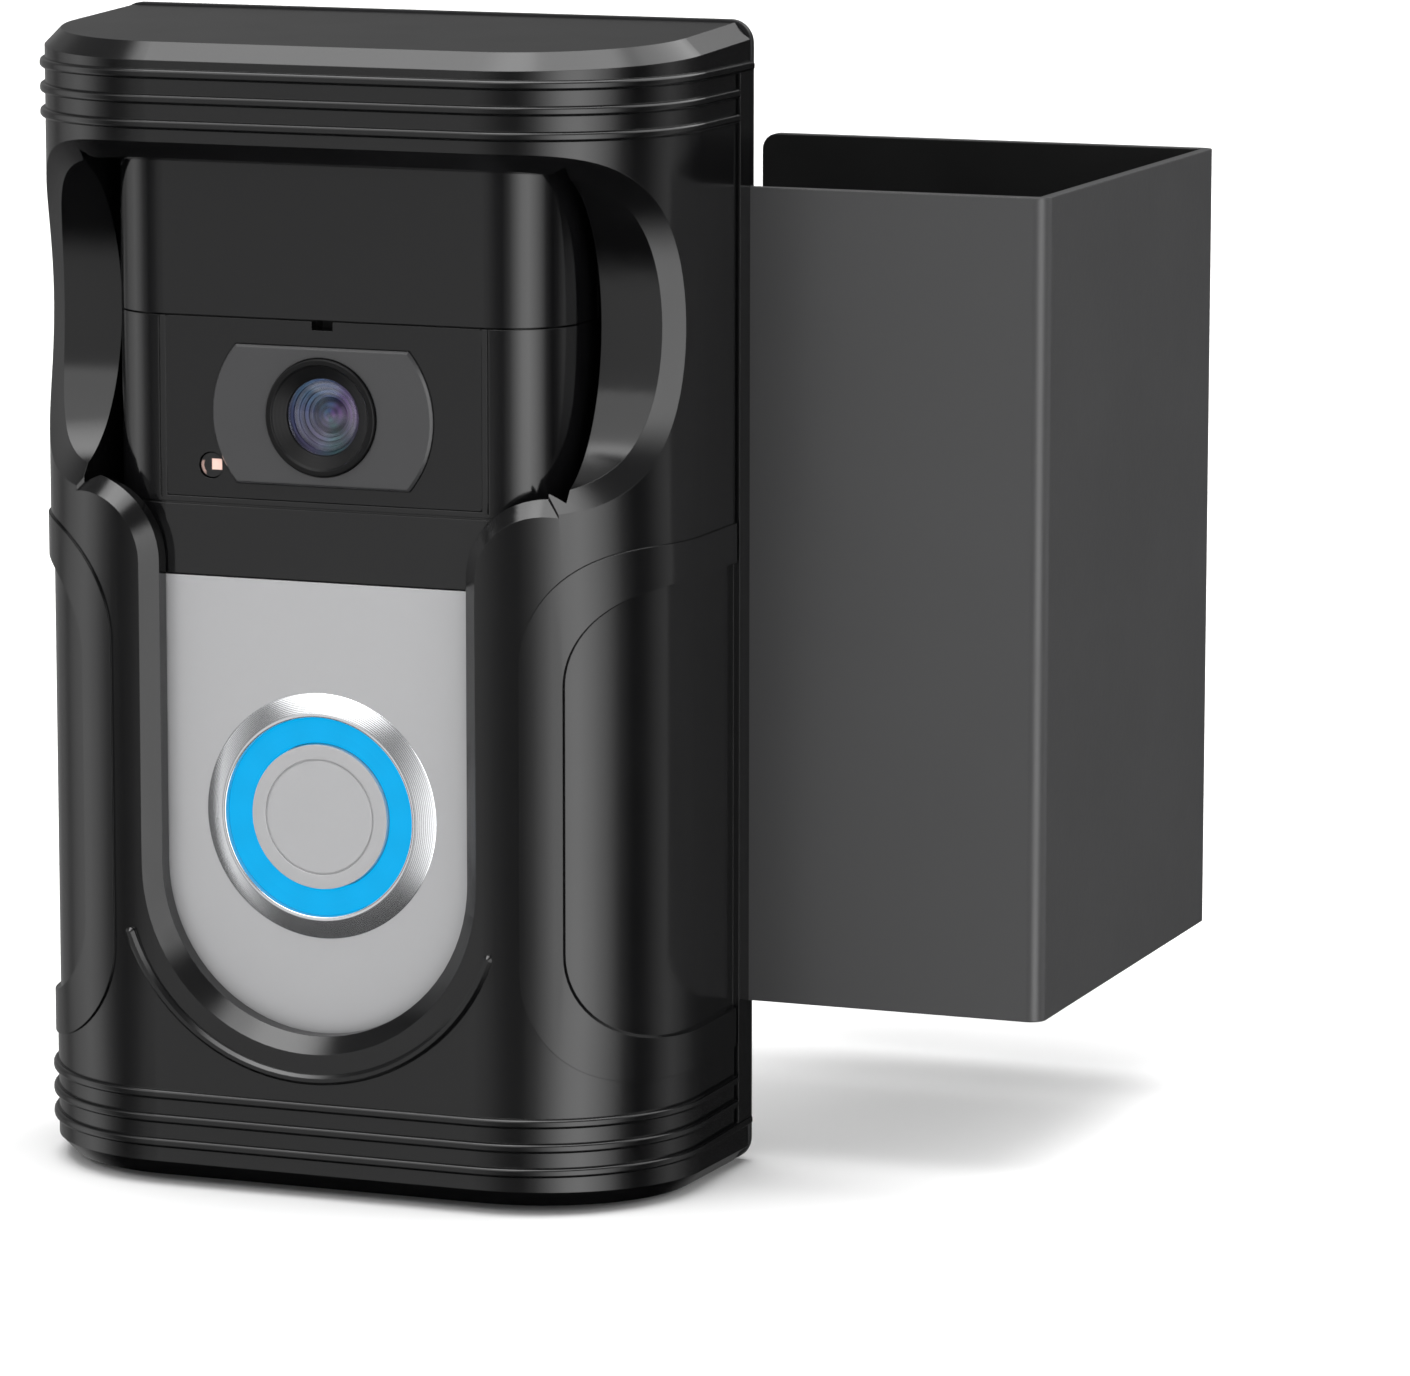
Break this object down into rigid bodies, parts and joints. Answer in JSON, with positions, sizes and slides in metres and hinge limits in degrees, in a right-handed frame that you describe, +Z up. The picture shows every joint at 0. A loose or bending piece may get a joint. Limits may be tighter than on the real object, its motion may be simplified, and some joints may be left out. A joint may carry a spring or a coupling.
{
  "type": "video doorbell",
  "caption": "Battery video doorbell with camera, motion sensor and lit button, held in a black anti-theft cage whose steel bracket clamps over a door's edge.",
  "frame": {"origin": "middle of the foam pad face that rests on the outside of the door, at the bracket's mid height", "axes": "+Z up, +Y into the door, the camera and button face -Y, the bracket's web is on the +X side"},
  "size_m": [0.1287, 0.134, 0.148],
  "materials": {
    "cage_black": "semi-gloss moulded black",
    "brass": "turned",
    "zinc_steel": "zinc plated",
    "coated_steel": "black powder coat",
    "foam": "closed cell foam",
    "black_rubber": "matt",
    "gloss_black": "polished black",
    "dull_black": "fine texture",
    "satin_silver": "satin metallic coat",
    "chrome": "polished",
    "blue_light": "milky, lit from behind",
    "bezel_grey": "satin grey",
    "barrel_black": "satin black",
    "lens_glass": "coated",
    "clear_window": "clear epoxy",
    "milky_plastic": "translucent",
    "circuit_green": "solder mask",
    "chip_black": "moulded",
    "tinned_steel": "tinned",
    "copper": "copper film",
    "battery_wrap": "shrink wrap",
    "red_wire": "wire"
  },
  "bodies": {
    "cage": {"cage_shell": "cage_black", "cage_inserts": "brass", "cage_screws": "zinc_steel", "back_plate": "coated_steel", "door_pad": "foam", "door_bracket": "coated_steel", "flange_pad": "foam", "clamp_nuts": "zinc_steel", "front_body": "gloss_black", "back_housing": "dull_black", "body_gasket": "black_rubber", "housing_screws": "zinc_steel", "motion_cover": "gloss_black", "faceplate": "satin_silver", "camera_panel": "gloss_black", "lens_bezel": "bezel_grey", "lens_barrel": "barrel_black", "lens_front_glass": "lens_glass", "lens_inner_glass": "lens_glass", "lens_spacer": "dull_black", "lens_holder": "dull_black", "image_sensor": "chip_black", "camera_gasket": "black_rubber", "camera_board": "circuit_green", "infrared_leds": "clear_window", "light_sensor": "clear_window", "microphone": "dull_black", "fresnel_lens": "milky_plastic", "pir_sensors": "tinned_steel", "sensor_board": "circuit_green", "board_screws": "zinc_steel", "button_bezel": "chrome", "light_ring": "blue_light", "button_dome": "black_rubber", "tact_switch": "dull_black", "led_board": "circuit_green", "led_carrier": "dull_black", "ring_leds": "milky_plastic", "main_board": "circuit_green", "shield_can": "tinned_steel", "board_parts": "chip_black", "board_connectors": "chip_black", "antenna": "copper", "usb_port": "tinned_steel", "usb_cover": "black_rubber", "battery_pack": "battery_wrap", "battery_foam": "foam", "battery_leads": "red_wire", "speaker": "chip_black", "terminal_screws": "zinc_steel", "mount_plate": "dull_black", "security_screws": "zinc_steel", "mount_screws": "zinc_steel", "plate_standoffs": "zinc_steel"},
    "clamp_plate": {"pressure_plate": "coated_steel", "pressure_pad": "black_rubber"},
    "upper_screw": {"clamp_screw_upper": "zinc_steel"},
    "lower_screw": {"clamp_screw_lower": "zinc_steel"},
    "button": {"button_cap": "satin_silver", "button_plunger": "dull_black"}
  },
  "joints": [
    {"name": "clamp_slide", "type": "slide", "parent": "cage", "child": "clamp_plate", "axis": [0, -1, 0], "range_m": [-0.0115, 0.01]},
    {"name": "upper_screw_turn", "type": "hinge", "parent": "clamp_plate", "child": "upper_screw", "pos_m": [0.05, 0.06, 0.025], "axis": [0, -1, 0], "range_deg": [-4141, 3601]},
    {"name": "lower_screw_turn", "type": "hinge", "parent": "clamp_plate", "child": "lower_screw", "pos_m": [0.05, 0.06, -0.025], "axis": [0, -1, 0], "range_deg": [-4141, 3601]},
    {"name": "button_press", "type": "slide", "parent": "cage", "child": "button", "axis": [0, 1, 0], "range_m": [0, 0.0008], "stiffness_N_per_m": 2500, "springref_m": -0.0004, "deforming": ["button_dome"]}
  ],
  "couplings": [
    {"joint": "upper_screw_turn", "follows": "clamp_slide", "rad_per_m": 6283.2},
    {"joint": "lower_screw_turn", "follows": "clamp_slide", "rad_per_m": 6283.2}
  ]
}
